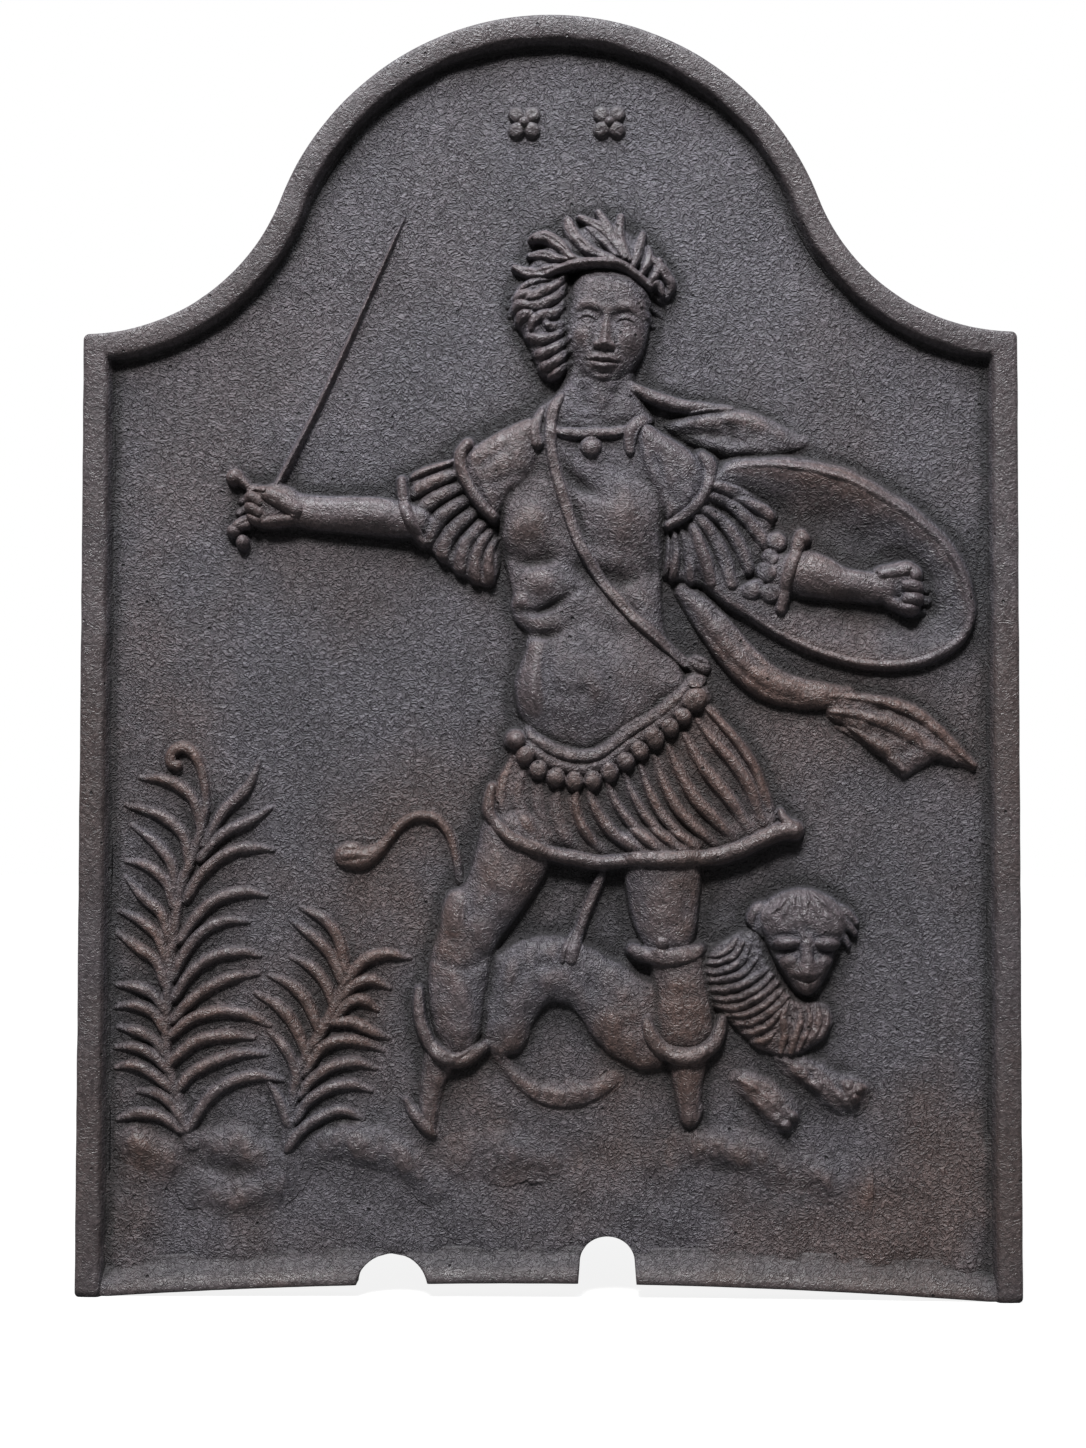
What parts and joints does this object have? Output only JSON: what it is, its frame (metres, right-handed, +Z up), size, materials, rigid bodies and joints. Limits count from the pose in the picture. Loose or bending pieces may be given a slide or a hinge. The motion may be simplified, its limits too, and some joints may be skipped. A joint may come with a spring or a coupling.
{
  "type": "fireback",
  "caption": "Cast-iron fireback with an arched crown and raised rim, a swordsman standing over a lion in relief, and two palms.",
  "frame": {"origin": "middle of the bottom of the bounding box: level with the two corner feet, halfway across the width and halfway through the depth", "axes": "+Z up, the picture faces -Y, the plain back faces +Y, +X to the viewer's right"},
  "size_m": [0.47, 0.028, 0.644],
  "materials": {
    "plate_iron": "sand-cast, blacked, satin",
    "rim_iron": "sand-cast, rubbed smooth, satin",
    "low_relief_iron": "sand-cast, blacked, satin",
    "high_relief_iron": "sand-cast, rubbed, faint brown rust, satin"
  },
  "bodies": {
    "root": {"back_plate": "plate_iron", "rim_moulding": "rim_iron", "foot_rail": "rim_iron", "left_rosette": "rim_iron", "right_rosette": "rim_iron", "ground_mounds": "low_relief_iron", "tall_palm": "low_relief_iron", "small_palm": "low_relief_iron", "lion_body": "low_relief_iron", "lion_hind_leg": "low_relief_iron", "lion_tail": "low_relief_iron", "lion_mane": "low_relief_iron", "lion_head": "high_relief_iron", "lion_forelegs": "high_relief_iron", "right_thigh": "high_relief_iron", "right_calf": "high_relief_iron", "right_boot": "high_relief_iron", "right_boot_cuff": "high_relief_iron", "left_thigh": "high_relief_iron", "left_calf": "high_relief_iron", "left_boot": "high_relief_iron", "left_garter": "high_relief_iron", "left_boot_cuff": "high_relief_iron", "scabbard": "high_relief_iron", "torso": "high_relief_iron", "neck": "high_relief_iron", "skirt": "low_relief_iron", "skirt_hem": "high_relief_iron", "waist_belt": "high_relief_iron", "belt_beads": "high_relief_iron", "baldric": "high_relief_iron", "baldric_knot": "high_relief_iron", "collar": "high_relief_iron", "right_strap": "high_relief_iron", "left_strap": "high_relief_iron", "right_shoulder": "high_relief_iron", "left_shoulder": "high_relief_iron", "right_sleeve": "high_relief_iron", "left_sleeve": "high_relief_iron", "right_shoulder_band": "high_relief_iron", "left_shoulder_band": "high_relief_iron", "right_forearm": "high_relief_iron", "left_forearm": "high_relief_iron", "right_cuff": "high_relief_iron", "left_cuff": "high_relief_iron", "left_cuff_beads": "high_relief_iron", "right_hand": "high_relief_iron", "left_fist": "high_relief_iron", "sword": "high_relief_iron", "shield_dish": "low_relief_iron", "shield_rim": "high_relief_iron", "cloak_upper": "low_relief_iron", "cloak_lower": "low_relief_iron", "cloak_tail": "low_relief_iron", "head": "high_relief_iron", "hair": "low_relief_iron", "laurel_wreath": "high_relief_iron"}
  },
  "joints": []
}
